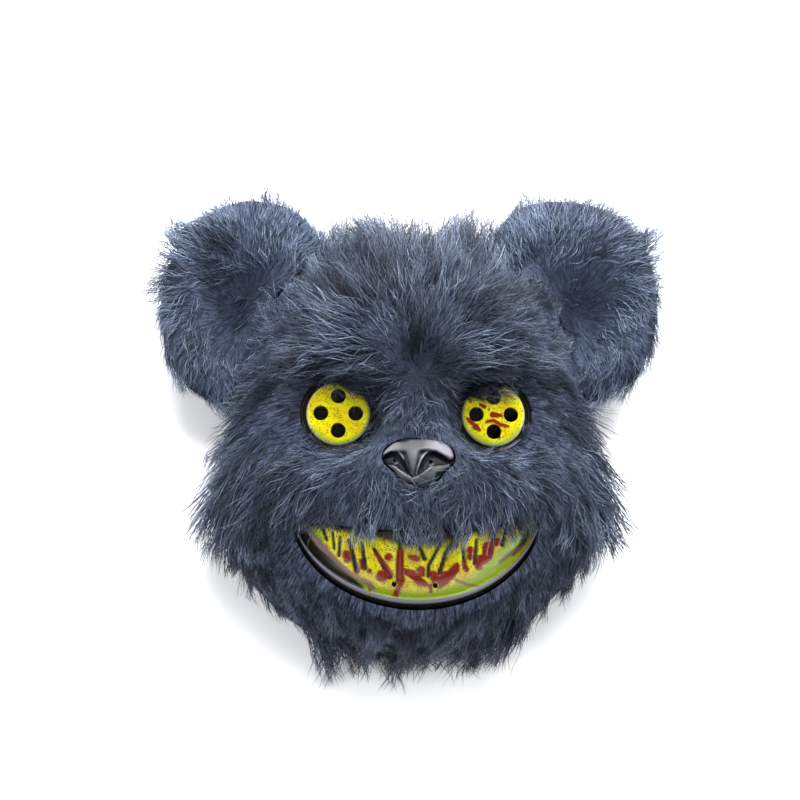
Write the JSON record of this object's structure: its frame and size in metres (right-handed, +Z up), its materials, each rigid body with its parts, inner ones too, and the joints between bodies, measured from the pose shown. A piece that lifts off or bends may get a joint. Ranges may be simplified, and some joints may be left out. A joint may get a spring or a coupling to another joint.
{
  "type": "bear face mask",
  "caption": "Hollow full-face bear mask of moulded plastic under long dark fur, with cupped fur ears, holed button eyes, a gloss nose and a wide toothed mouth, lying face up on its rim.",
  "frame": {"origin": "on the ground, under the middle of the whole mask's box", "axes": "+X towards the viewer's right, +Y from the chin to the forehead, +Z up out of the face"},
  "size_m": [0.2788, 0.2532, 0.1054],
  "materials": {
    "shell": "moulded plastic, black",
    "fur": "long-pile artificial fur, black with a blue-grey sheen",
    "eye": "glossy yellow paint with dark speckles and a few red splashes",
    "nose": "glossy black paint",
    "mouth": "glossy yellow teeth with a black lip and red splashes",
    "strap": "woven elastic, black"
  },
  "bodies": {
    "root": {"face_shell": "shell", "fur_cover": "fur", "ear_left": "fur", "ear_right": "fur", "eye_left": "eye", "eye_right": "eye", "nose": "nose", "mouth_plate": "mouth", "head_strap": "strap"}
  },
  "joints": []
}
